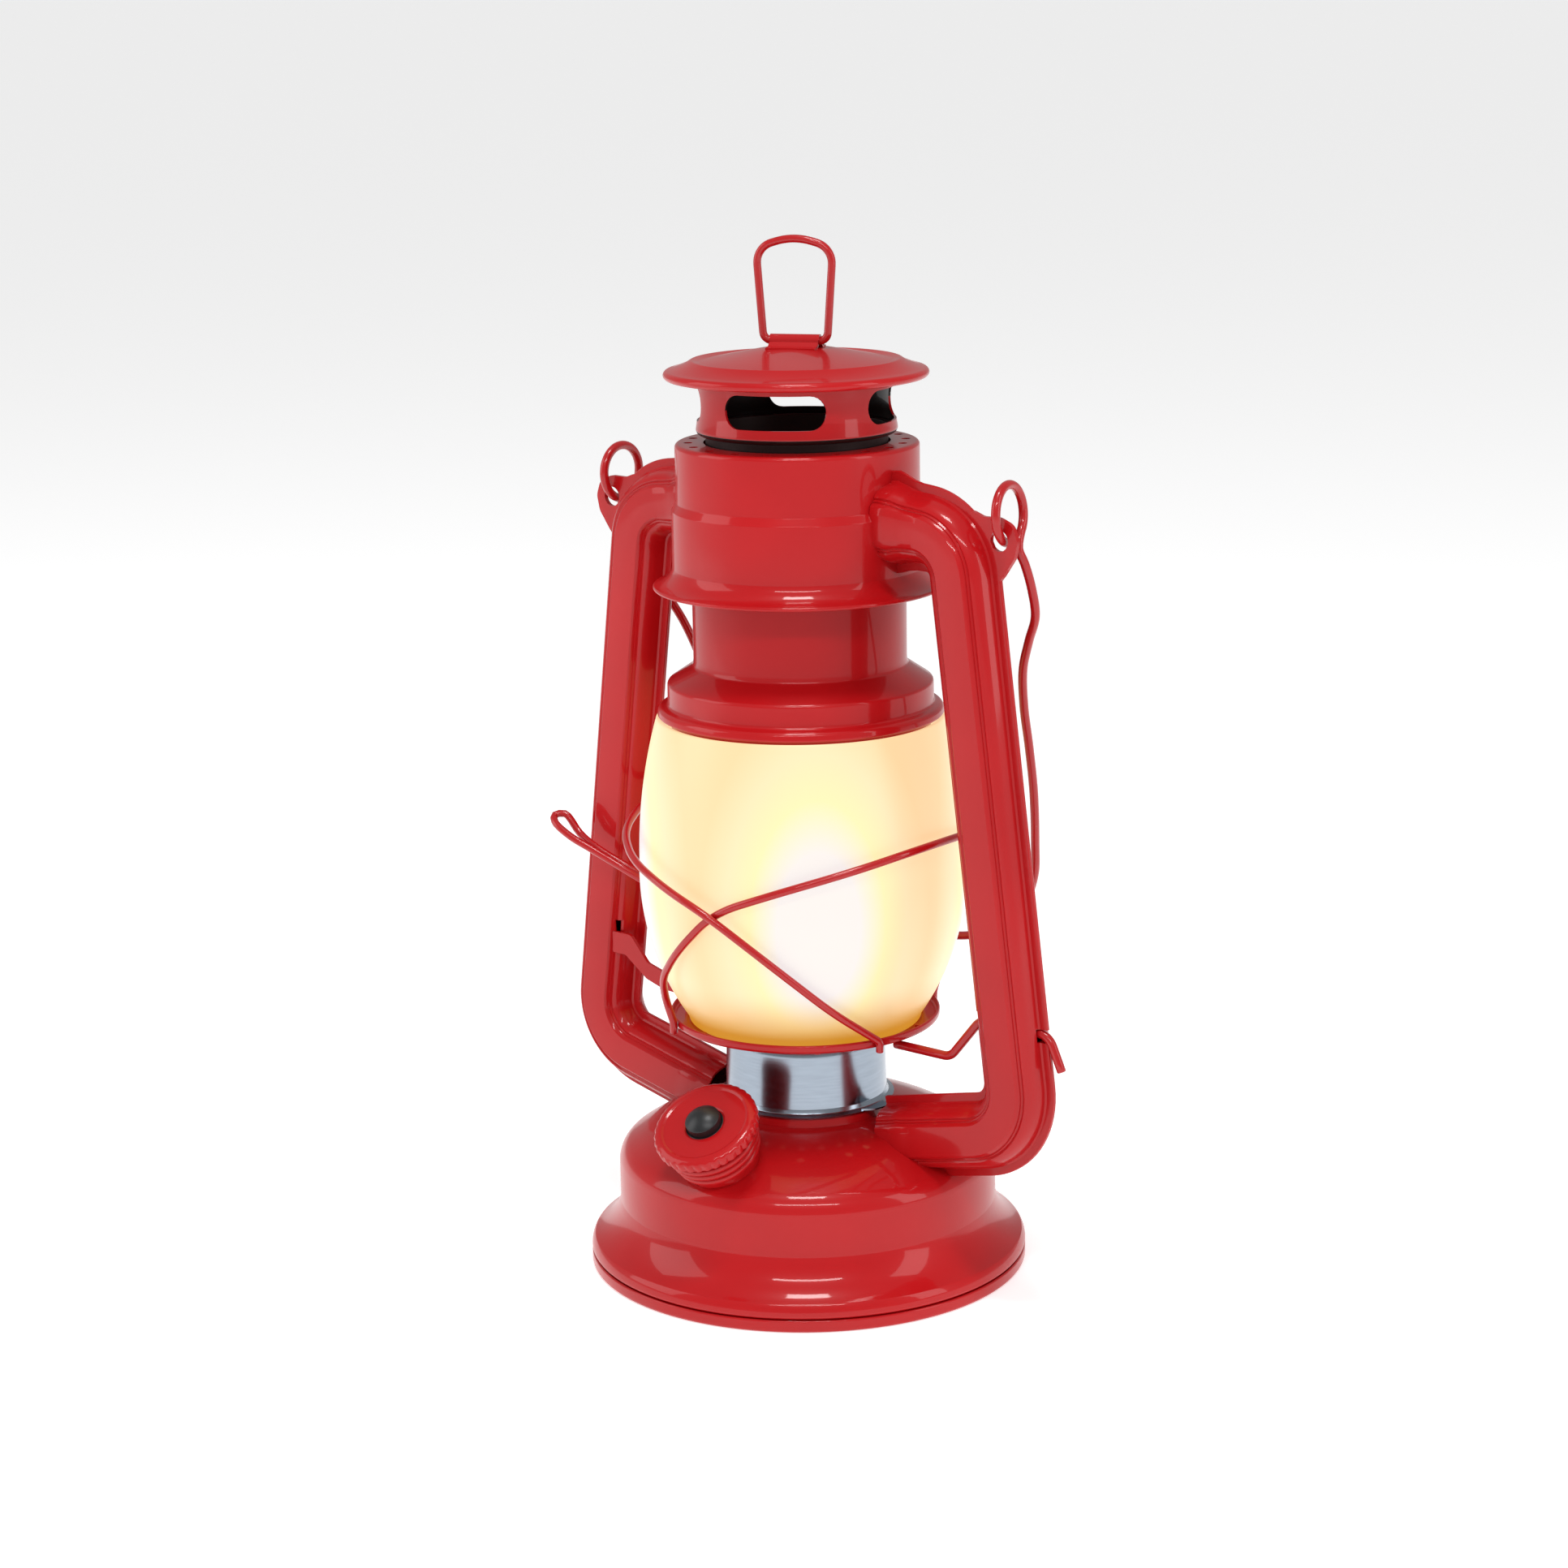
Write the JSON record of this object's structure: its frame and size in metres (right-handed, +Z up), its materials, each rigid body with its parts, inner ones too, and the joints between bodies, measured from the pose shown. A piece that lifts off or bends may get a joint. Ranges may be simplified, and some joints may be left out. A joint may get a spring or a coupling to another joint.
{
  "type": "hurricane lantern",
  "caption": "Battery lantern in the form of a red hurricane oil lamp, with side tubes, a lifting crown, a frosted globe in a crossed wire guard, and a swinging bail.",
  "frame": {"origin": "middle of the base ring, on the surface the lantern stands on", "axes": "+Z up; the side tubes lie along X, and the filler cap is at -Y"},
  "size_m": [0.1634, 0.1145, 0.2667],
  "materials": {
    "red_paint": "gloss",
    "plated_collar": "satin",
    "dark_ring": "satin",
    "frosted_glass": "frosted",
    "black_plastic": "satin",
    "white_plastic": "satin",
    "board": "satin",
    "lamp_lens": "gloss",
    "lead_insulation": "satin",
    "spring_steel": "satin",
    "cell_sleeve": "gloss"
  },
  "bodies": {
    "frame": {"base_pan": "red_paint", "fount_shell": "red_paint", "filler_cap": "red_paint", "filler_neck": "red_paint", "left_tube_front": "red_paint", "left_tube_back": "red_paint", "right_tube_front": "red_paint", "right_tube_back": "red_paint", "hood_shell": "red_paint", "burner_collar": "plated_collar", "burner_ring": "dark_ring", "switch_body": "black_plastic", "battery_box": "black_plastic", "led_post": "white_plastic", "led_board": "board", "led_lamps": "lamp_lens", "led_leads": "lead_insulation", "switch_leads": "lead_insulation", "chimney_spring": "spring_steel", "contact_springs": "spring_steel", "contact_plates": "spring_steel", "battery_cells": "cell_sleeve"},
    "globe_carrier": {"globe": "frosted_glass", "globe_plate": "red_paint", "guard_wire_a": "red_paint", "guard_wire_b": "red_paint", "thumb_loop": "red_paint", "plate_arm": "red_paint"},
    "crown": {"chimney_bell": "red_paint", "crown_neck": "red_paint", "vent_ring": "red_paint", "vent_lid": "red_paint", "lid_tab": "red_paint"},
    "loop": {"lid_loop": "red_paint"},
    "lever": {"lift_lever": "red_paint"},
    "bail": {"bail": "red_paint"},
    "button": {"power_button": "black_plastic"},
    "cover": {"battery_cover": "black_plastic"}
  },
  "joints": [
    {"name": "globe_lift", "type": "slide", "parent": "frame", "child": "globe_carrier", "axis": [0, 0, 1], "range_m": [0, 0.003]},
    {"name": "lever_rock", "type": "hinge", "parent": "frame", "child": "lever", "pos_m": [0.068, 0, 0.0745], "axis": [0, 1, 0], "range_deg": [0, 4.6]},
    {"name": "crown_lift", "type": "slide", "parent": "globe_carrier", "child": "crown", "axis": [0, 0, 1], "range_m": [0, 0.008], "stiffness_N_per_m": 250, "springref_m": -0.01, "deforming": ["chimney_spring"]},
    {"name": "bail_swing", "type": "hinge", "parent": "frame", "child": "bail", "pos_m": [0, 0.0035, 0.20206], "axis": [1, 0, 0], "range_deg": [0, 280]},
    {"name": "loop_fold", "type": "hinge", "parent": "crown", "child": "loop", "pos_m": [0, 0, 0.2404], "axis": [0.9135, 0.4067, 0], "range_deg": [-80, 80]},
    {"name": "button_press", "type": "slide", "parent": "frame", "child": "button", "axis": [-0.0569, 0.5417, -0.8387], "range_m": [0, 0.0013], "stiffness_N_per_m": 1500, "springref_m": -0.0004},
    {"name": "cover_twist", "type": "hinge", "parent": "frame", "child": "cover", "pos_m": [0, 0, 0.001], "axis": [0, 0, 1], "range_deg": [0, 30]}
  ],
  "couplings": [
    {"joint": "lever_rock", "follows": "globe_lift", "rad_per_m": 26.316}
  ]
}
